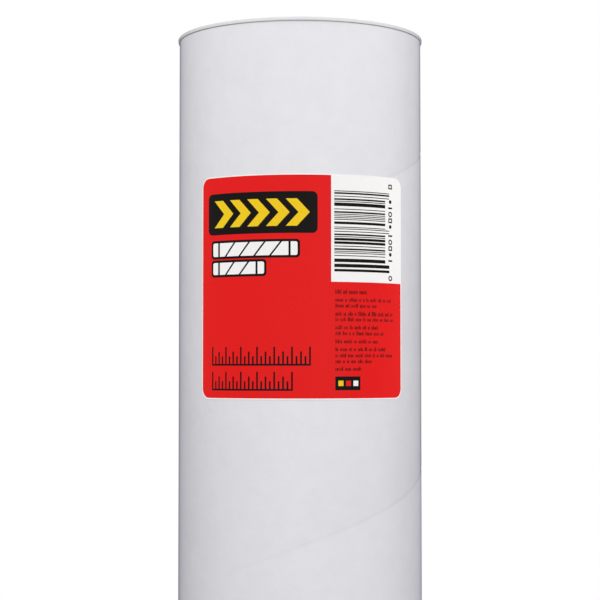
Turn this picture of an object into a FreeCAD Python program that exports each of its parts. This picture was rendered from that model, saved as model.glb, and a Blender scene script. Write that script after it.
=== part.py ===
import FreeCAD, Part

import math
import os

from FreeCAD import Vector

# A white spiral-wound cardboard mailing tube, closed at both ends by a moulded plastic plug.
# A printed sticker is stuck round its front, near the top.
# Frame: millimetres, +Z up, the tube stands on end. The origin is the centre of the face it stands on,
# and -Y is the front, where the sticker is centred.

# Cardboard tube
BORE_DIAMETER = 101.6
TUBE_LENGTH = 1219.2
TUBE_WALL = 2.03

# Plastic end plug: a cup pushed into the bore, with a flange that seats on the tube's end
FLANGE_THICKNESS = 1.45
FLANGE_OVERHANG = 0.6
FLANGE_EDGE_RADIUS = 0.35
PLUG_DEPTH = 19.0
PLUG_WALL = 1.4
PLUG_FLOOR = 1.2
PLUG_DRAFT_DEGREES = 0.8
PLUG_NOSE_RADIUS = 2.5
PLUG_RECESS_RADIUS = 1.2
PLUG_RIM_RADIUS = 0.7

# Grip ribs round the plug's skirt
RIB_COUNT = 3
RIB_HEIGHT = 0.55
RIB_WIDTH = 1.8
RIB_CREST_RADIUS = 0.4
RIB_CLEARANCE = 0.05

# Moulded marks on the plug's floor: a stiffening ring and the gate mark
RING_RADIUS = 30.0
RING_WIDTH = 1.4
RING_HEIGHT = 0.7
GATE_RADIUS = 2.2
GATE_HEIGHT = 0.6

# Sticker
LABEL_WIDTH = 95.3
LABEL_HEIGHT = 92.1
LABEL_DROP = 62.9
LABEL_THICKNESS = 0.12
LABEL_ADHESIVE = 0.06
LABEL_CORNER_RADIUS = 4.3
LABEL_TURN_DEGREES = 1.36

# Places worked out from the sizes above
BORE_RADIUS = BORE_DIAMETER / 2
TUBE_RADIUS = BORE_RADIUS + TUBE_WALL
TUBE_BOTTOM = FLANGE_THICKNESS
TUBE_TOP = TUBE_BOTTOM + TUBE_LENGTH
RIB_CREST = BORE_RADIUS - RIB_CLEARANCE
SKIRT_RADIUS = RIB_CREST - RIB_HEIGHT

Z_AXIS = Vector(0, 0, 1)
X_AXIS = Vector(1, 0, 0)
ORIGIN = Vector(0, 0, 0)
FRONT_DEGREES = -90.0
SAME_POINT = 1e-7


def arc_corner(before, corner, after, radius):
    """The two tangent points and the middle of the arc that rounds a corner of a profile."""
    to_before = (before - corner).normalize()
    to_after = (after - corner).normalize()
    half_angle = to_before.getAngle(to_after) / 2
    reach = radius / math.tan(half_angle)
    bisector = (to_before + to_after).normalize()
    centre = corner + bisector * (radius / math.sin(half_angle))
    return corner + to_before * reach, centre - bisector * radius, corner + to_after * reach


def rounded_wire(corners):
    """A closed wire in the XZ plane through corners of (x, z, radius), each rounded by its radius."""
    points = [Vector(x, 0, z) for x, z, radius in corners]
    count = len(points)
    edges = []
    stretches = []
    for i, (_, _, radius) in enumerate(corners):
        if radius > 0:
            start, middle, end = arc_corner(points[i - 1], points[i], points[(i + 1) % count], radius)
            edges.append(Part.Arc(start, middle, end).toShape())
        else:
            start = end = points[i]
        stretches.append((start, end))
    for i in range(count):
        start, end = stretches[i][1], stretches[(i + 1) % count][0]
        if start.distanceToPoint(end) > SAME_POINT:
            edges.append(Part.LineSegment(start, end).toShape())
    return Part.Wire(Part.__sortEdges__(edges))


def revolved(corners):
    """A ring or disc: the profile turned once about the Z axis."""
    return Part.Face(rounded_wire(corners)).revolve(ORIGIN, Z_AXIS, 360)


def tube():
    """The wound cardboard wall, cut square at both ends."""
    wall = Part.makeCylinder(TUBE_RADIUS, TUBE_LENGTH, Vector(0, 0, TUBE_BOTTOM))
    bore = Part.makeCylinder(BORE_RADIUS, TUBE_LENGTH, Vector(0, 0, TUBE_BOTTOM))
    return wall.cut(bore)


def skirt_radius_at(depth):
    """Outer radius of the drafted skirt at a depth below the flange."""
    return SKIRT_RADIUS - depth * math.tan(math.radians(PLUG_DRAFT_DEGREES))


def rib_corners():
    """The ribs down the skirt, evenly spaced between the flange and the rounded nose."""
    corners = []
    pitch = (PLUG_DEPTH - PLUG_NOSE_RADIUS) / (RIB_COUNT + 1)
    for i in range(RIB_COUNT):
        depth = pitch * (i + 1)
        for offset, crest in ((-RIB_WIDTH / 2, False), (0, True), (RIB_WIDTH / 2, False)):
            at = depth + offset
            radius = RIB_CREST if crest else skirt_radius_at(at)
            corners.append((radius, -at, RIB_CREST_RADIUS if crest else 0))
    return corners


def plug():
    """One end plug, with its flange's underside at z = 0 and its cup below."""
    flange_radius = TUBE_RADIUS + FLANGE_OVERHANG
    nose_radius = skirt_radius_at(PLUG_DEPTH)
    recess_top = SKIRT_RADIUS - PLUG_WALL
    recess_bottom = nose_radius - PLUG_WALL
    floor_top = PLUG_FLOOR - PLUG_DEPTH
    profile = [
        (0, -PLUG_DEPTH, 0),
        (nose_radius, -PLUG_DEPTH, PLUG_NOSE_RADIUS),
        *reversed(rib_corners()),
        (SKIRT_RADIUS, 0, 0),
        (flange_radius, 0, FLANGE_EDGE_RADIUS),
        (flange_radius, FLANGE_THICKNESS, FLANGE_EDGE_RADIUS),
        (recess_top, FLANGE_THICKNESS, PLUG_RIM_RADIUS),
        (recess_bottom, floor_top, PLUG_RECESS_RADIUS),
        (0, floor_top, 0),
    ]
    body = revolved(profile)
    ring_half = RING_WIDTH / 2
    ring = revolved([
        (RING_RADIUS - ring_half, floor_top - PLUG_FLOOR / 2, 0),
        (RING_RADIUS + ring_half, floor_top - PLUG_FLOOR / 2, 0),
        (RING_RADIUS + ring_half, floor_top + RING_HEIGHT, ring_half / 2),
        (RING_RADIUS - ring_half, floor_top + RING_HEIGHT, ring_half / 2),
    ])
    gate = revolved([
        (0, floor_top - PLUG_FLOOR / 2, 0),
        (GATE_RADIUS, floor_top - PLUG_FLOOR / 2, 0),
        (GATE_RADIUS, floor_top + GATE_HEIGHT, GATE_HEIGHT / 2),
        (0, floor_top + GATE_HEIGHT, 0),
    ])
    return body.fuse([ring, gate]).removeSplitter()


def top_plug():
    """The plug in the upper end, its flange seated on the tube."""
    shape = plug()
    shape.translate(Vector(0, 0, TUBE_TOP))
    return shape


def bottom_plug():
    """The plug in the lower end, upside down, with its flange on the ground."""
    shape = plug()
    shape.rotate(ORIGIN, X_AXIS, 180)
    shape.translate(Vector(0, 0, TUBE_BOTTOM))
    return shape


def corner_cutter(angle, height, across, upward):
    """What a rounded corner of the sticker loses: a block less a rod, both aimed at the tube's axis.

    The corner is at this angle and height; across and upward are 1 or -1, out from the sticker's middle.
    """
    radius = LABEL_CORNER_RADIUS
    centre = Vector(TUBE_RADIUS, -across * radius, height - upward * radius)
    block = Part.makeBox(2 * radius, 2 * radius, 2 * radius)
    block.translate(centre + Vector(-1, across - 1, upward - 1) * radius)
    rod = Part.makeCylinder(radius, 4 * radius, centre - X_AXIS * (2 * radius), X_AXIS)
    cutter = block.cut(rod)
    cutter.rotate(ORIGIN, Z_AXIS, angle)
    return cutter


def label():
    """The sticker, curved round the tube, with rounded corners."""
    turn = math.degrees(LABEL_WIDTH / TUBE_RADIUS)
    base = TUBE_TOP - LABEL_DROP - LABEL_HEIGHT
    place = Vector(0, 0, base)
    back_radius = TUBE_RADIUS + LABEL_ADHESIVE
    outside = Part.makeCylinder(back_radius + LABEL_THICKNESS, LABEL_HEIGHT, place, Z_AXIS, turn)
    inside = Part.makeCylinder(back_radius, LABEL_HEIGHT, place)
    corners = [
        corner_cutter(angle, height, across, upward)
        for angle, across in ((0, -1), (turn, 1))
        for height, upward in ((base, -1), (base + LABEL_HEIGHT, 1))
    ]
    sheet = outside.cut([inside, *corners])
    sheet.rotate(ORIGIN, Z_AXIS, FRONT_DEGREES - turn / 2 + LABEL_TURN_DEGREES)
    return sheet


NODES = {
    "tube": tube,
    "top_plug": top_plug,
    "bottom_plug": bottom_plug,
    "label": label,
}


def main():
    os.makedirs("parts", exist_ok=True)
    for name, build in NODES.items():
        shape = build()
        print(name, "solids", len(shape.Solids), "valid", shape.isValid(), "volume", round(shape.Volume, 1))
        shape.exportStep(f"parts/{name}.step")


main()
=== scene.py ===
import math
import random

import bmesh
import bpy
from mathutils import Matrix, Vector
from mathutils.geometry import delaunay_2d_cdt


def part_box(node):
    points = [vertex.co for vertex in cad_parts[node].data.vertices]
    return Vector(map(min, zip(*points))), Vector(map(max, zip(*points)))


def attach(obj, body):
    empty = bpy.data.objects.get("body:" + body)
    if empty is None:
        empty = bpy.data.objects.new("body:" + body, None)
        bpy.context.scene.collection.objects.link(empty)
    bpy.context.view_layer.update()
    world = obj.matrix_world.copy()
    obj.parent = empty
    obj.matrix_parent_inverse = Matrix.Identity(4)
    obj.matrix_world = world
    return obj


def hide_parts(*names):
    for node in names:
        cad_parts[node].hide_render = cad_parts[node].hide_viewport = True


# A white spiral-wound mailing tube on end, with a moulded plug in each end and a printed sticker
# round its front. Lengths are in metres, unless a name or a comment says otherwise.
# +Z is up and -Y is the front.

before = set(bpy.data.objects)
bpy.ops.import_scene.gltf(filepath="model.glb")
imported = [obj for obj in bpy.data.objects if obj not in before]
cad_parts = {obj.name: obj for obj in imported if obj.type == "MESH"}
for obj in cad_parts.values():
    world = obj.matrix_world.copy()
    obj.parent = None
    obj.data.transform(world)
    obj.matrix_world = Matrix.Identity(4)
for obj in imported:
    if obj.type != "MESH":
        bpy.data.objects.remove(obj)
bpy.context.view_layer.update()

MM = 0.001
FULL_TURN = 2 * math.pi
COLUMNS = 240
SAME_PLACE = 1e-7

# Sizes repeated from the model's driving dimensions
TUBE_WALL = 2.03 * MM
FLANGE_EDGE = 0.35 * MM
PLUG_DEPTH = 19.0 * MM
PLUG_WALL = 1.4 * MM
PLUG_FLOOR = 1.2 * MM
PLUG_DRAFT = math.radians(0.8)
PLUG_NOSE = 2.5 * MM
PLUG_FOOT = 1.2 * MM
PLUG_RIM = 0.7 * MM
RIB_COUNT = 3
RIB_HEIGHT = 0.55 * MM
RIB_WIDTH = 1.8 * MM
RIB_CLEARANCE = 0.05 * MM
RING_RADIUS = 30.0 * MM
RING_WIDTH = 1.4 * MM
RING_HEIGHT = 0.7 * MM
GATE_RADIUS = 2.2 * MM
GATE_HEIGHT = 0.6 * MM
LABEL_WIDTH = 95.3 * MM
LABEL_THICKNESS = 0.12 * MM
LABEL_ADHESIVE = 0.06 * MM
LABEL_CORNER = 4.3 * MM
LABEL_TURN = math.radians(1.36)

# Places read from the frame
tube_low, tube_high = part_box("tube")
label_low, label_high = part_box("label")
TUBE_BOTTOM, TUBE_TOP = tube_low.z, tube_high.z
FLANGE_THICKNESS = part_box("top_plug")[1].z - TUBE_TOP
TUBE_RADIUS = max(tube_high.x, tube_high.y)
BORE_RADIUS = TUBE_RADIUS - TUBE_WALL

# Turns of the outer and inner ply: the width of the paper sets how far it climbs in one turn,
# and it sways a little up and down on the way
OUTER_PLY_WIDTH = 126.6 * MM
INNER_PLY_WIDTH = 120.0 * MM
OUTER_SEAM_DROP = 79.1 * MM
INNER_SEAM_DROP = 31.0 * MM
SEAM_GAPE_TURN = math.radians(10)
PLY_SWAY = 3.0 * MM
PLY_SWAY_TURN = math.radians(-146)

# Seams of the plies, and the groove where the white ply stops short of the cut ends
SEAM_HALF_WIDTH = 1.4 * MM
SEAM_SHOULDER = 0.4 * SEAM_HALF_WIDTH
INNER_SEAM_HALF_WIDTH = 0.3 * SEAM_HALF_WIDTH
SEAM_DEPTH = 0.14 * MM
GROOVE_HEIGHT = 0.11 * MM
GROOVE_DEPTH = 0.3 * MM

# The wall's two materials, by number
OUTER_PAPER, BOARD = range(2)


def finish_mesh(name, bm, materials, body, node):
    """Turns a bmesh into a piece that rides on a body and stands for a node."""
    mesh = bpy.data.meshes.new(name)
    bm.normal_update()
    bm.to_mesh(mesh)
    bm.free()
    for material in materials:
        mesh.materials.append(material)
    piece = bpy.data.objects.new(name, mesh)
    bpy.context.scene.collection.objects.link(piece)
    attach(piece, body)
    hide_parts(node)
    return piece


def smooth_by_angle(piece, degrees):
    """Shades a piece smooth, but for edges that turn by more than this."""
    piece.data.shade_smooth()
    limit = math.radians(degrees)
    bm = bmesh.new()
    bm.from_mesh(piece.data)
    for edge in bm.edges:
        edge.smooth = len(edge.link_faces) == 2 and edge.calc_face_angle(0) < limit
    bm.to_mesh(piece.data)
    bm.free()


# Materials

def new_material(name, roughness, specular):
    """A Principled material with its fixed values set on the shader itself."""
    material = bpy.data.materials.new(name)
    material.use_nodes = True
    shader = material.node_tree.nodes["Principled BSDF"]
    shader.inputs["Roughness"].default_value = roughness
    shader.inputs["Specular IOR Level"].default_value = specular
    return material, material.node_tree, shader


def noise(tree, scale, detail, stretch=(1, 1, 1)):
    """Noise in the piece's own coordinates, its scale in cycles per metre, stretched if asked."""
    place = tree.nodes.new("ShaderNodeTexCoord")
    mapping = tree.nodes.new("ShaderNodeMapping")
    mapping.inputs["Scale"].default_value = stretch
    texture = tree.nodes.new("ShaderNodeTexNoise")
    texture.inputs["Scale"].default_value = scale
    texture.inputs["Detail"].default_value = detail
    tree.links.new(place.outputs["Object"], mapping.inputs["Vector"])
    tree.links.new(mapping.outputs["Vector"], texture.inputs["Vector"])
    return texture.outputs["Fac"]


def ramp(tree, factor, first, second):
    """A colour that goes from one (position, colour) stop to another."""
    node = tree.nodes.new("ShaderNodeValToRGB")
    for element, (position, colour) in zip(node.color_ramp.elements, (first, second)):
        element.position = position
        element.color = (*colour, 1)
    tree.links.new(factor, node.inputs["Fac"])
    return node.outputs["Color"]


def shade(colour, amount):
    """A colour made lighter or darker by a share."""
    return tuple(min(1.0, c * (1 + amount)) for c in colour)


def mottled(tree, factor, colour, darker, paler, margin=0.3):
    """A colour that follows a noise, from a darker share of itself to a paler one."""
    low = (margin, shade(colour, -darker))
    high = (1 - margin, shade(colour, paler))
    return ramp(tree, factor, low, high)


def mix(tree, kind, factor, first, second):
    """Two linked colours mixed by a number."""
    node = tree.nodes.new("ShaderNodeMix")
    node.data_type = "RGBA"
    node.blend_type = kind
    node.inputs["Factor"].default_value = factor
    tree.links.new(first, node.inputs["A"])
    tree.links.new(second, node.inputs["B"])
    return node.outputs["Result"]


def bump(tree, shader, heights):
    """Bumps stacked one on another, each as (height link, strength, distance)."""
    last = None
    for height, strength, distance in heights:
        node = tree.nodes.new("ShaderNodeBump")
        node.inputs["Strength"].default_value = strength
        node.inputs["Distance"].default_value = distance
        tree.links.new(height, node.inputs["Height"])
        if last:
            tree.links.new(last, node.inputs["Normal"])
        last = node.outputs["Normal"]
    tree.links.new(last, shader.inputs["Normal"])


def rough_range(tree, shader, factor, low, high):
    """Roughness that follows a noise between two values."""
    node = tree.nodes.new("ShaderNodeMapRange")
    node.inputs["To Min"].default_value = low
    node.inputs["To Max"].default_value = high
    tree.links.new(factor, node.inputs["Value"])
    tree.links.new(node.outputs["Result"], shader.inputs["Roughness"])


def dim_aslant(shader, tint):
    """A clear layer without gloss that takes more of the light, the more aslant the surface is seen."""
    shader.inputs["Coat Weight"].default_value = 1.0
    shader.inputs["Coat Roughness"].default_value = 1.0
    shader.inputs["Coat IOR"].default_value = 1.0
    shader.inputs["Coat Tint"].default_value = (*tint, 1)


def white_ply():
    """The tube's uncoated white outer paper: cloudy, a little uneven, with a fine nap, and darker in its
    seam the deeper the groove is there, partly from the joint's own greyer tone and partly as painted
    shade.
    """
    colour = (0.806, 0.803, 0.811)
    # The paper's tone at the seam's full depth: partly the joint's own greyer paper, partly painted shade
    # in the groove.
    seam_tone_and_shade = (0.93, 0.93, 0.925)
    stretched_up = (1, 1, 0.6)
    material, tree, shader = new_material("white_ply", roughness=0.8, specular=0.0)
    dim_aslant(shader, (0.922, 0.924, 0.935))
    drift = mottled(tree, noise(tree, 17, 2, stretched_up), colour, 0.03, 0.03)
    clouds = mottled(tree, noise(tree, 45, 3, stretched_up), colour, 0.035, 0.03)
    flecks = mottled(tree, noise(tree, 160, 3), colour, 0.045, 0.035)
    paper = mix(tree, "MIX", 0.33, mix(tree, "MIX", 0.5, clouds, flecks), drift)
    # Painted shade in the seam: the paper darkens with the groove depth that each point carries, on top
    # of the joint's own greyer tone.
    dark_joint_and_shade = tree.nodes.new("ShaderNodeAttribute")
    dark_joint_and_shade.attribute_name = "dark_joint_and_shade"
    joint_tone_and_painted_shade = ramp(tree, dark_joint_and_shade.outputs["Fac"], (0, (1, 1, 1)), (1, seam_tone_and_shade))
    tree.links.new(mix(tree, "MULTIPLY", 1.0, paper, joint_tone_and_painted_shade), shader.inputs["Base Color"])
    bump(tree, shader, [
        (noise(tree, 80, 3), 1.0, 0.4 * MM),
        (noise(tree, 210, 2), 1.0, 0.1 * MM),
        (noise(tree, 2500, 3), 0.15, 0.03 * MM),
    ])
    return material


def grey_board():
    """The wound core: recycled grey-brown board with darker and paler fibres."""
    colour = (0.42, 0.36, 0.29)
    stretched_up = (1, 1, 0.3)
    material, tree, shader = new_material("grey_board", roughness=0.9, specular=0.1)
    flecks = mottled(tree, noise(tree, 700, 4, stretched_up), colour, 0.3, 0.25)
    clouds = mottled(tree, noise(tree, 40, 3), colour, 0.1, 0.1)
    tree.links.new(mix(tree, "MIX", 0.5, flecks, clouds), shader.inputs["Base Color"])
    bump(tree, shader, [(noise(tree, 1500, 3), 0.3, 0.05 * MM)])
    return material


def plug_plastic():
    """Waxy moulded polyethylene, a little see-through at its edges."""
    colour = (0.765, 0.765, 0.765)
    light_reach = 2.0 * MM
    material, tree, shader = new_material("plug_plastic", roughness=0.42, specular=0.2)
    clouds = mottled(tree, noise(tree, 30, 3), colour, 0.015, 0.015)
    tree.links.new(clouds, shader.inputs["Base Color"])
    rough_range(tree, shader, noise(tree, 400, 2), 0.36, 0.5)
    shader.inputs["Subsurface Weight"].default_value = 0.15
    shader.inputs["Subsurface Radius"].default_value = (light_reach, light_reach, light_reach)
    shader.inputs["Subsurface Scale"].default_value = 0.5
    dim_aslant(shader, (0.91, 0.91, 0.91))
    bump(tree, shader, [(noise(tree, 500, 2), 0.1, 0.04 * MM)])
    return material


def ink(name, colour):
    """A flat ink on the sticker's coated paper, or the bare paper, with the slight mottle of print."""
    material, tree, shader = new_material(name, roughness=0.5, specular=0.06)
    shader.inputs["Diffuse Roughness"].default_value = 1.0
    grain = mottled(tree, noise(tree, 1200, 2), colour, 0.03, 0.03, margin=0.35)
    clouds = mottled(tree, noise(tree, 60, 2), colour, 0.012, 0.012)
    tree.links.new(mix(tree, "MIX", 0.5, grain, clouds), shader.inputs["Base Color"])
    bump(tree, shader, [(noise(tree, 1800, 2), 0.1, 0.02 * MM)])
    return material


# Tube

def wound_surface(bm, radius, ply_width, seam_drop, profile, material_index):
    """Adds one surface of the wall, as a grid that climbs with its ply, and returns its faces.

    The profile is the section across the ply, as (distance above a seam, lift off the radius), and a
    distance below 0 is measured down from the next seam. The seam drop is how far the seam lies below
    the tube's top at the front, but for the ply's sway. The seam gapes more on one side of the tube
    than on the other. The grid runs past both ends of the tube.
    """
    climb = math.asin(ply_width / (FULL_TURN * radius))
    lead = ply_width / math.cos(climb)
    turns_below = math.ceil((TUBE_TOP - TUBE_BOTTOM - seam_drop) / lead) + 2
    turns_above = math.ceil(seam_drop / lead) + 1
    start = TUBE_TOP - seam_drop - turns_below * lead
    rows = []
    for turn in range(turns_below + turns_above):
        for along, lift in profile:
            above_seam = along if along >= 0 else lead + along
            rows.append((turn * lead + above_seam, lift))
    depth = max(abs(lift) for _, lift in profile)
    dark_joint_and_shade = bm.verts.layers.float.get("dark_joint_and_shade") or bm.verts.layers.float.new("dark_joint_and_shade")
    columns = []
    for j in range(COLUMNS):
        angle = FULL_TURN * j / COLUMNS
        x, y = math.sin(angle), -math.cos(angle)
        sway = PLY_SWAY * math.sin(angle - PLY_SWAY_TURN)
        base = start + lead * j / COLUMNS + sway
        gape = 0.5 + 0.5 * math.sin(angle - SEAM_GAPE_TURN)
        column = []
        for height, lift in rows:
            off_axis = radius + lift * gape
            vert = bm.verts.new((off_axis * x, off_axis * y, base + height))
            # How deep the point lies in the seam's groove, times its gape, which the paper's material
            # turns into a darker joint: partly its own greyer tone, partly painted shade.
            vert[dark_joint_and_shade] = abs(lift) / depth * gape
            column.append(vert)
        columns.append(column)
    faces = []
    for j in range(COLUMNS):
        shift = len(profile) if j == COLUMNS - 1 else 0
        left, right = columns[j], columns[(j + 1) % COLUMNS]
        for r in range(len(rows) - 1 - shift):
            faces.append(bm.faces.new((left[r], right[r + shift], right[r + 1 + shift], left[r + 1])))
    for face in faces:
        face.material_index = material_index
    return faces


def cut_ends(bm, faces, low, high):
    """Cuts a surface off square at two heights and returns the two new rims, as lists of edges."""
    rims = []
    for height, outward in ((low, -1), (high, 1)):
        verts = {v for f in faces for v in f.verts}
        edges = {e for f in faces for e in f.edges}
        cut = bmesh.ops.bisect_plane(
            bm, geom=[*verts, *edges, *faces], dist=SAME_PLACE,
            plane_co=(0, 0, height), plane_no=(0, 0, outward), clear_outer=True,
        )
        faces = [g for g in cut["geom"] if isinstance(g, bmesh.types.BMFace)]
        rims.append([g for g in cut["geom_cut"] if isinstance(g, bmesh.types.BMEdge)])
    return rims


def extruded_rim(bm, edges, outward_step, height_step):
    """Extends a rim by one ring of bare board, outward and up by these steps, and returns the new rim."""
    made = bmesh.ops.extrude_edge_only(bm, edges=edges)["geom"]
    verts = [g for g in made if isinstance(g, bmesh.types.BMVert)]
    for vert in verts:
        across = Vector((vert.co.x, vert.co.y, 0))
        vert.co += across.normalized() * outward_step + Vector((0, 0, height_step))
    for face in (g for g in made if isinstance(g, bmesh.types.BMFace)):
        face.material_index = BOARD
    return [g for g in made if isinstance(g, bmesh.types.BMEdge)]


def build_tube():
    """The wound wall: white outer ply with its butted seam, grey bore with its own, and bare cut ends."""
    outer_profile = [
        (0, -SEAM_DEPTH), (SEAM_SHOULDER, -SEAM_DEPTH * 0.5), (SEAM_HALF_WIDTH, 0),
        (OUTER_PLY_WIDTH / 3, 0), (OUTER_PLY_WIDTH * 2 / 3, 0),
        (-SEAM_HALF_WIDTH, 0), (-SEAM_SHOULDER, -SEAM_DEPTH * 0.5),
    ]
    inner_profile = [
        (0, SEAM_DEPTH), (INNER_SEAM_HALF_WIDTH, 0),
        (INNER_PLY_WIDTH / 2, 0), (-INNER_SEAM_HALF_WIDTH, 0),
    ]
    bm = bmesh.new()
    outer = wound_surface(bm, TUBE_RADIUS, OUTER_PLY_WIDTH, OUTER_SEAM_DROP, outer_profile, OUTER_PAPER)
    outer_rims = cut_ends(bm, outer, TUBE_BOTTOM + GROOVE_HEIGHT, TUBE_TOP - GROOVE_HEIGHT)
    inner = wound_surface(bm, BORE_RADIUS, INNER_PLY_WIDTH, INNER_SEAM_DROP, inner_profile, BOARD)
    bmesh.ops.reverse_faces(bm, faces=inner)
    inner_rims = cut_ends(bm, inner, TUBE_BOTTOM, TUBE_TOP)
    for outer_rim, inner_rim, upward in zip(outer_rims, inner_rims, (-1, 1)):
        step = extruded_rim(bm, outer_rim, -GROOVE_DEPTH, 0)
        edge = extruded_rim(bm, step, 0, upward * GROOVE_HEIGHT)
        made = bmesh.ops.bridge_loops(bm, edges=edge + inner_rim)
        for face in made["faces"]:
            face.material_index = BOARD
    bmesh.ops.recalc_face_normals(bm, faces=bm.faces)
    piece = finish_mesh("tube_wall", bm, [white_ply(), grey_board()], "tube", "tube")
    smooth_by_angle(piece, 15)


# End plugs

def arc(centre, radius, first, last, steps):
    """Points of an arc about a centre in a flat plane, angles in degrees."""
    turns = [math.radians(first + (last - first) * k / steps) for k in range(steps + 1)]
    return [(centre[0] + radius * math.cos(turn), centre[1] + radius * math.sin(turn)) for turn in turns]


def rib_points(skirt, crest):
    """The ribs as (radius, height) points on the drafted skirt, from the lowest to the highest."""
    stations = (-1, -0.6, -0.25, 0, 0.25, 0.6, 1)
    roundness = 0.8
    pitch = (PLUG_DEPTH - PLUG_NOSE) / (RIB_COUNT + 1)
    points = []
    for i in reversed(range(RIB_COUNT)):
        depth = pitch * (i + 1)
        for station in stations:
            at = depth - station * RIB_WIDTH / 2
            base = skirt - at * math.tan(PLUG_DRAFT)
            swell = (1 - abs(station)) ** roundness
            points.append((base + (crest - base) * swell, -at))
    return points


def plug_profile(flange_radius):
    """The section of a plug, from the middle of its underside out and back to the middle of its floor.

    Points are (radius, height). The flange's underside is at height 0, and the cup hangs below it.
    """
    bend_steps = 6
    nose_steps = 8
    ring_section = ((1, 0), (0.8, 0.7), (0.4, 1), (-0.4, 1), (-0.8, 0.7), (-1, 0))
    gate_section = ((1, 0), (1, 0.6), (0.7, 1), (0, 0.9))
    crest = BORE_RADIUS - RIB_CLEARANCE
    skirt = crest - RIB_HEIGHT
    lowest_skirt = skirt - PLUG_DEPTH * math.tan(PLUG_DRAFT)
    recess = skirt - PLUG_WALL
    lowest_recess = lowest_skirt - PLUG_WALL
    floor = PLUG_FLOOR - PLUG_DEPTH
    edge = flange_radius - FLANGE_EDGE
    points = [(0, -PLUG_DEPTH)]
    points += arc((lowest_skirt - PLUG_NOSE, PLUG_NOSE - PLUG_DEPTH), PLUG_NOSE, -90, 0, nose_steps)
    points += rib_points(skirt, crest)
    points.append((skirt, 0))
    points += arc((edge, FLANGE_EDGE), FLANGE_EDGE, -90, 0, bend_steps)
    points += arc((edge, FLANGE_THICKNESS - FLANGE_EDGE), FLANGE_EDGE, 0, 90, bend_steps)
    points += arc((recess + PLUG_RIM, FLANGE_THICKNESS - PLUG_RIM), PLUG_RIM, 90, 180, bend_steps)
    points += arc((lowest_recess - PLUG_FOOT, floor + PLUG_FOOT), PLUG_FOOT, 0, -90, bend_steps)
    for across, up in ring_section:
        points.append((RING_RADIUS + RING_WIDTH / 2 * across, floor + RING_HEIGHT * up))
    for across, up in gate_section:
        points.append((GATE_RADIUS * across, floor + GATE_HEIGHT * up))
    return points


def build_plug(name, node, body, material, seat, upward):
    """One moulded plug, its flange on the tube's end at this height, the cup inside."""
    low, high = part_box(node)
    flange_radius = (high.x - low.x) / 2
    turns = [FULL_TURN * k / COLUMNS for k in range(COLUMNS)]
    bm = bmesh.new()
    rings = []
    for radius, height in plug_profile(flange_radius):
        z = seat + upward * height
        circle = [(radius * math.cos(turn), radius * math.sin(turn), z) for turn in turns]
        points = circle if radius > 0 else [(0, 0, z)]
        rings.append([bm.verts.new(point) for point in points])
    for first, second in zip(rings, rings[1:]):
        for k in range(COLUMNS):
            after = (k + 1) % COLUMNS
            if len(first) == 1:
                bm.faces.new((first[0], second[after], second[k]))
            elif len(second) == 1:
                bm.faces.new((first[k], first[after], second[0]))
            else:
                bm.faces.new((first[k], first[after], second[after], second[k]))
    bmesh.ops.recalc_face_normals(bm, faces=bm.faces)
    piece = finish_mesh(name, bm, [material], body, node)
    smooth_by_angle(piece, 35)


# Sticker. Its layout is in millimetres, x from its left edge and y from its lower edge,
# and a field is (outline, colour).

SHEET_WIDTH = LABEL_WIDTH / MM
SHEET_HEIGHT = (label_high.z - label_low.z) / MM
SHEET_CORNER = LABEL_CORNER / MM
BORDER = 0.45
PAPER, RED, BLACK, YELLOW = range(4)


def rectangle(x0, y0, x1, y1):
    """The corners of a rectangle."""
    return [(x0, y0), (x1, y0), (x1, y1), (x0, y1)]


def block(x, y, half_width, half_height):
    """The corners of a rectangle about its middle."""
    return rectangle(x - half_width, y - half_height, x + half_width, y + half_height)


def rounded(x0, y0, x1, y1, radii, steps=6):
    """A rectangle whose corners are rounded by four radii, or left square by 0, from the lower left."""
    corners = ((x0, y0, 1, 1, 180), (x1, y0, -1, 1, 270), (x1, y1, -1, -1, 0), (x0, y1, 1, -1, 90))
    points = []
    for (x, y, inward, up, start), radius in zip(corners, radii):
        if radius == 0:
            points.append((x, y))
        else:
            points += arc((x + inward * radius, y + up * radius), radius, start, start + 90, steps)
    return points


def ellipse(x, y, half_width, half_height, steps=20):
    """An ellipse as a polygon."""
    turns = [FULL_TURN * k / steps for k in range(steps)]
    return [(x + half_width * math.cos(turn), y + half_height * math.sin(turn)) for turn in turns]


def chevron(x, y, half_height, thickness, reach):
    """A chevron that points right, from its left edge at x, about the height y."""
    return [
        (x, y - half_height), (x + thickness, y - half_height), (x + thickness + reach, y),
        (x + thickness, y + half_height), (x, y + half_height), (x + reach, y),
    ]


def plate_fields():
    """A black plate with a row of yellow chevrons."""
    left, low, right, high = 4.2, 67.8, 53.6, 84.9
    corner = 2.2
    margin = 3.6
    count, pitch = 5, 8.2
    middle = (low + high) / 2
    fields = [(rounded(left, low, right, high, (corner,) * 4), BLACK)]
    for k in range(count):
        x = left + margin + k * pitch
        fields.append((chevron(x, middle, half_height=5.6, thickness=4.6, reach=5.2), YELLOW))
    return fields


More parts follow.
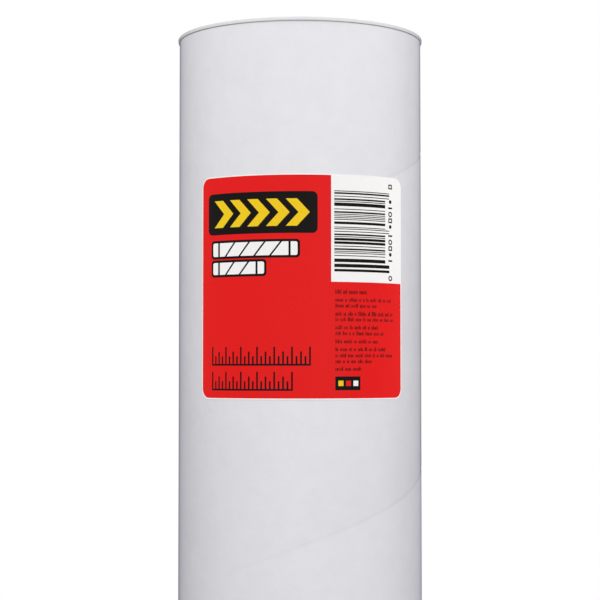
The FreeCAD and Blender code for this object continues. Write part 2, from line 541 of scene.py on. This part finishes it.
def tube_picture(x0, y0, x1, y1):
    """A white picture of a wound tube on its side, with black outlines, caps and slanting seams."""
    outline = 1.0
    outline_corner = 1.5
    corner = 0.8
    line = 0.9
    cap = 2.8
    slant = (y1 - y0) * 0.8
    pitch = 6.8
    margin = 1.5
    outer_box = (x0 - outline, y0 - outline, x1 + outline, y1 + outline)
    fields = [
        (rounded(*outer_box, (outline_corner,) * 4), BLACK),
        (rounded(x0, y0, x1, y1, (corner,) * 4), PAPER),
    ]
    for x in (x0 + cap, x1 - cap - line):
        fields.append((rectangle(x, y0, x + line, y1), BLACK))
    seams = int((x1 - x0 - 2 * cap - slant - margin) / pitch) + 1
    first = (x0 + x1 - slant - line - (seams - 1) * pitch) / 2
    for k in range(seams):
        x = first + k * pitch
        fields.append(([(x, y0), (x + line, y0), (x + line + slant, y1), (x + slant, y1)], BLACK))
    return fields


def picture_fields():
    """A long and a short tube."""
    long_tube = (7.0, 58.8, 45.4, 64.4)
    short_tube = (7.0, 51.3, 31.6, 56.3)
    return tube_picture(*long_tube) + tube_picture(*short_tube)


def mark(kind, x, y):
    """One of four small plain marks: a ring, a bar, a dot or a hollow block."""
    marks = (
        [(ellipse(x, y, 1.15, 1.15), BLACK), (ellipse(x, y, 0.6, 0.6), PAPER)],
        [(block(x, y, 1.2, 0.35), BLACK)],
        [(ellipse(x, y, 0.8, 0.8), BLACK)],
        [(block(x, y, 1.1, 1.0), BLACK), (block(x, y, 0.55, 0.45), PAPER)],
    )
    return marks[kind % len(marks)]


# Stack of bars on the sticker's white panel
BARS_LOW, BARS_HIGH = 52.2, 85.6
BARS_MIDDLE = (BARS_LOW + BARS_HIGH) / 2
END_GUARD = 3.2
MIDDLE_GUARD = 0.9


def bar_fields():
    """Dark bars that say nothing, the longer ones at the ends and the middle of their stack."""
    left, short_right, long_right = 60.5, 85.0, 87.4
    module = 0.353
    bar_modules = (1, 1, 2, 2, 3, 4)
    gap_modules = (1, 1, 2, 2, 3)
    dice = random.Random(5)
    fields = []
    y = BARS_LOW
    while y < BARS_HIGH:
        thick = module * dice.choice(bar_modules)
        gap = module * dice.choice(gap_modules)
        at_end = y < BARS_LOW + END_GUARD or y > BARS_HIGH - END_GUARD
        at_middle = abs(y - BARS_MIDDLE) < MIDDLE_GUARD
        right = long_right if at_end or at_middle else short_right
        fields.append((rectangle(left, y, right, min(y + thick, BARS_HIGH)), BLACK))
        y += thick + gap
    return fields


def mark_fields():
    """A column of small marks beside the bars: one below them, two groups along them and one above."""
    x = 88.0
    spacing = 2.6
    group = 5
    below = 2.2
    inset = 1.9
    lower = [BARS_LOW + END_GUARD + inset + k * spacing for k in range(group)]
    upper = [BARS_MIDDLE + spacing + k * spacing for k in range(group)]
    fields = []
    for kind, y in enumerate([BARS_LOW - below, *lower, *upper, BARS_HIGH + spacing]):
        fields += mark(kind, x, y)
    return fields


def panel_fields():
    """A white panel in the sticker's upper right corner, with the bars and the marks."""
    left, low = 59.2, 48.0
    corners = (0, 0, SHEET_CORNER, 0)
    panel = (rounded(left, low, SHEET_WIDTH, SHEET_HEIGHT, corners), PAPER)
    return [panel, *bar_fields(), *mark_fields()]


def scale(x0, y0, height, pitch, count):
    """A ruler's scale in dark strokes: every fourth is a long one and every second a middling one."""
    stroke = 0.72
    shares = (1, 0.5, 0.75, 0.5)
    fields = [(rectangle(x0, y0, x0 + pitch * (count - 1) + stroke, y0 + stroke), BLACK)]
    for k in range(count):
        x = x0 + k * pitch
        tall = height * shares[k % len(shares)]
        fields.append((rectangle(x, y0 + stroke, x + stroke, y0 + tall), BLACK))
    return fields


def scale_fields():
    """Two scales, the longer one above."""
    left, height, pitch = 6.4, 7.7, 1.82
    upper, lower = 13.8, 3.6
    return scale(left, upper, height, pitch, 25) + scale(left, lower, height, pitch, 21)


def swatch_fields():
    """A dark block with three small squares of the printing colours."""
    left, low, right, high = 60.9, 3.8, 72.0, 9.4
    first, middle = 62.2, 6.6
    size, pitch = 2.2, 3.3
    fields = [(rectangle(left, low, right, high), BLACK)]
    for k, colour in enumerate((YELLOW, RED, PAPER)):
        x = first + k * pitch
        fields.append((rectangle(x, middle - size / 2, x + size, middle + size / 2), colour))
    return fields


def stroke_fields():
    """Rows of small dark strokes, grouped like words, that say nothing."""
    left = 61.0
    fewest, most = 2, 7
    widths = (0.24, 0.3, 0.42)
    shares = (0.7, 0.7, 0.7, 1.0)
    stroke_gap = 0.24
    group_gap = 0.7
    # Each row as (its middle, its length, how tall its tallest strokes are)
    rows = (
        (44.0, 12, 1.9), (40.7, 26, 1.6), (38.3, 18, 1.6), (35.0, 27, 1.8),
        (32.7, 27, 1.6), (29.4, 20, 1.6), (27.0, 23, 1.6), (23.7, 19, 1.6),
        (20.5, 24, 1.6), (18.0, 27, 1.6), (15.6, 14, 1.6), (12.5, 12, 1.6),
    )
    dice = random.Random(11)
    fields = []
    for middle, length, height in rows:
        low = middle - height / 2
        x = left
        while x < left + length:
            for _ in range(dice.randint(fewest, most)):
                tall = height * dice.choice(shares)
                wide = dice.choice(widths)
                fields.append((rectangle(x, low, x + wide, low + tall), BLACK))
                x += wide + stroke_gap
            x += group_gap
    return fields


def sheet_fields():
    """Every field of the sticker, from the bare paper up."""
    sheet = rounded(0, 0, SHEET_WIDTH, SHEET_HEIGHT, (SHEET_CORNER,) * 4, 10)
    red_corner = SHEET_CORNER - BORDER
    red = rounded(BORDER, BORDER, SHEET_WIDTH - BORDER, SHEET_HEIGHT - BORDER, (red_corner,) * 4)
    return [
        (sheet, PAPER), (red, RED), *plate_fields(), *picture_fields(), *panel_fields(),
        *stroke_fields(), *swatch_fields(), *scale_fields(),
    ]


def cut_sheet(fields):
    """The flat sheet's points, and its faces as (triangle, colour), cut along the edges of every field.

    It is cut into upright strips as well, so that it can curve round the tube.
    """
    strip_width = 1.4
    past_edge = 1
    keep_inside = 1
    same_point = 1e-5
    points, outlines, cuts = [], [], []
    for outline, _ in fields:
        outlines.append(list(range(len(points), len(points) + len(outline))))
        points += outline
    strips = round(SHEET_WIDTH / strip_width)
    for k in range(1, strips):
        x = SHEET_WIDTH * k / strips
        cuts.append((len(points), len(points) + 1))
        points += [(x, -past_edge), (x, SHEET_HEIGHT + past_edge)]
    flat = [Vector((min(max(x, 0), SHEET_WIDTH), y)) for x, y in points]
    verts, _, triangles, _, _, covers = delaunay_2d_cdt(flat, cuts, outlines, keep_inside, same_point)
    faces = [(triangle, fields[max(cover)][1]) for triangle, cover in zip(triangles, covers) if cover]
    return verts, faces


def outer_edges(triangles):
    """The edges that only one triangle has, as (first, second) in that triangle's order."""
    edges = {}
    for a, b, c in triangles:
        edges.update(dict.fromkeys(((a, b), (b, c), (c, a))))
    return [(a, b) for a, b in edges if (b, a) not in edges]


def on_tube(x, y, stand_off):
    """The place on the tube of a point of the sticker's layout, at a distance off the tube's surface."""
    angle = (x * MM - LABEL_WIDTH / 2) / TUBE_RADIUS + LABEL_TURN
    radius = TUBE_RADIUS + stand_off
    return Vector((radius * math.sin(angle), -radius * math.cos(angle), label_low.z + y * MM))


def build_label():
    """The sticker as one thin curved sheet, its print cut into it as fields of colour."""
    verts, faces = cut_sheet(sheet_fields())
    bm = bmesh.new()
    front = [bm.verts.new(on_tube(x, y, LABEL_ADHESIVE + LABEL_THICKNESS)) for x, y in verts]
    back = [bm.verts.new(on_tube(x, y, LABEL_ADHESIVE)) for x, y in verts]
    for triangle, colour in faces:
        face = bm.faces.new([front[i] for i in triangle])
        face.material_index = colour
        bm.faces.new([back[i] for i in reversed(triangle)])
    for a, b in outer_edges(triangle for triangle, _ in faces):
        bm.faces.new((front[b], front[a], back[a], back[b]))
    loose = [v for v in bm.verts if not v.link_faces]
    bmesh.ops.delete(bm, geom=loose, context="VERTS")
    materials = [
        ink("sticker_paper", (0.905, 0.900, 0.886)),
        ink("red_ink", (0.795, 0.0150, 0.0147)),
        ink("black_ink", (0.0056, 0.0046, 0.0042)),
        ink("yellow_ink", (0.87, 0.645, 0.019)),
    ]
    piece = finish_mesh("sticker", bm, materials, "tube", "label")
    smooth_by_angle(piece, 30)


PLUG_PLASTIC = plug_plastic()
build_tube()
build_plug("top_plug_moulding", "top_plug", "top_plug", PLUG_PLASTIC, TUBE_TOP, 1)
build_plug("bottom_plug_moulding", "bottom_plug", "bottom_plug", PLUG_PLASTIC, TUBE_BOTTOM, -1)
build_label()


# Floor, light and camera

def background_share(tree):
    """1 for rays from the camera, from a gloss or through glass, so that they all meet the same white."""
    path = tree.nodes.new("ShaderNodeLightPath")
    first = tree.nodes.new("ShaderNodeMath")
    second = tree.nodes.new("ShaderNodeMath")
    first.operation = "ADD"
    second.operation = "ADD"
    second.use_clamp = True
    tree.links.new(path.outputs["Is Camera Ray"], first.inputs[0])
    tree.links.new(path.outputs["Is Glossy Ray"], first.inputs[1])
    tree.links.new(first.outputs[0], second.inputs[0])
    tree.links.new(path.outputs["Is Transmission Ray"], second.inputs[1])
    return second.outputs[0]


def set_world(colour, strength):
    """White behind the object, and a weaker, cooler sky that lights it."""
    world = bpy.data.worlds.new("studio")
    world.use_nodes = True
    tree = world.node_tree
    sky = tree.nodes["Background"]
    sky.inputs["Color"].default_value = (*colour, 1)
    sky.inputs["Strength"].default_value = strength
    white = tree.nodes.new("ShaderNodeBackground")
    white.inputs["Color"].default_value = (1, 1, 1, 1)
    white.inputs["Strength"].default_value = 1
    both = tree.nodes.new("ShaderNodeMixShader")
    tree.links.new(background_share(tree), both.inputs["Fac"])
    tree.links.new(sky.outputs[0], both.inputs[1])
    tree.links.new(white.outputs[0], both.inputs[2])
    tree.links.new(both.outputs[0], tree.nodes["World Output"].inputs["Surface"])
    bpy.context.scene.world = world


def build_floor(radius):
    """A round pale floor that takes the object's shadow and otherwise meets the white behind it."""
    sides = 96
    grey = 0.6
    brightness = 0.54
    mesh = bpy.data.meshes.new("floor")
    turns = [FULL_TURN * k / sides for k in range(sides)]
    edge = [(radius * math.cos(turn), radius * math.sin(turn), 0) for turn in turns]
    mesh.from_pydata(edge, [], [tuple(range(sides))])
    material, tree, shader = new_material("floor", roughness=0.9, specular=0.0)
    shader.inputs["Base Color"].default_value = (grey, grey, grey, 1)
    shader.inputs["Emission Color"].default_value = (1, 1, 1, 1)
    glow = tree.nodes.new("ShaderNodeMath")
    glow.operation = "MULTIPLY"
    glow.inputs[1].default_value = brightness
    tree.links.new(background_share(tree), glow.inputs[0])
    tree.links.new(glow.outputs[0], shader.inputs["Emission Strength"])
    mesh.materials.append(material)
    floor = bpy.data.objects.new("floor", mesh)
    bpy.context.scene.collection.objects.link(floor)


def add_lamp(name, place, aim_height, size, watts, colour=(1, 1, 1), in_gloss=True):
    """A soft box, its size as (width, height), aimed at the tube's axis at a height, in gloss or not."""
    lamp = bpy.data.lights.new(name, "AREA")
    lamp.shape = "RECTANGLE"
    lamp.size, lamp.size_y = size
    lamp.energy = watts
    lamp.color = colour
    item = bpy.data.objects.new(name, lamp)
    item.location = place
    aim = Vector((0, 0, aim_height)) - Vector(place)
    item.rotation_euler = aim.to_track_quat("-Z", "Y").to_euler()
    item.visible_camera = False
    item.visible_glossy = in_gloss
    bpy.context.scene.collection.objects.link(item)


def build_camera():
    """Level with the lower part of the sticker, in front, tipped up a little."""
    distance = 0.7317
    eye_drop = 0.1418
    pitch = math.radians(2.30)
    data = bpy.data.cameras.new("camera")
    data.lens = 100.3
    data.sensor_width = 36
    data.clip_start = 0.05
    data.clip_end = 50
    camera = bpy.data.objects.new("camera", data)
    camera.location = (0, -distance, TUBE_TOP - eye_drop)
    camera.rotation_euler = (math.pi / 2 + pitch, 0, 0)
    bpy.context.scene.collection.objects.link(camera)
    bpy.context.scene.camera = camera


COOL_WHITE = (0.95, 0.945, 1.0)
WARM_WHITE = (1.0, 0.975, 0.93)
FRONT_BOX = (1.2, 1.8)
BACK_BOX = (1.2, 2.0)
SMALL_BOX = (0.3, 0.3)
TOP_BOX = (0.5, 0.5)

set_world(COOL_WHITE, 0.455)
build_floor(1.0)
add_lamp("front_left", (-1.1, -3.1, 1.5), 1.0, FRONT_BOX, 19.5)
add_lamp("front_right", (1.3, -3.0, 1.5), 1.0, FRONT_BOX, 31)
add_lamp("above_left", (-0.5, -0.22, 1.56), 1.1, SMALL_BOX, 1.7, WARM_WHITE)
add_lamp("above_right", (0.5, -0.22, 1.56), 1.1, SMALL_BOX, 1.55, WARM_WHITE)
add_lamp("above_front", (0.05, -0.75, 1.85), 1.1, TOP_BOX, 0.25, WARM_WHITE)
add_lamp("behind", (1.3, 3.15, 1.4), 0.8, BACK_BOX, 72, in_gloss=False)
build_camera()

bpy.context.scene.view_settings.view_transform = "Standard"
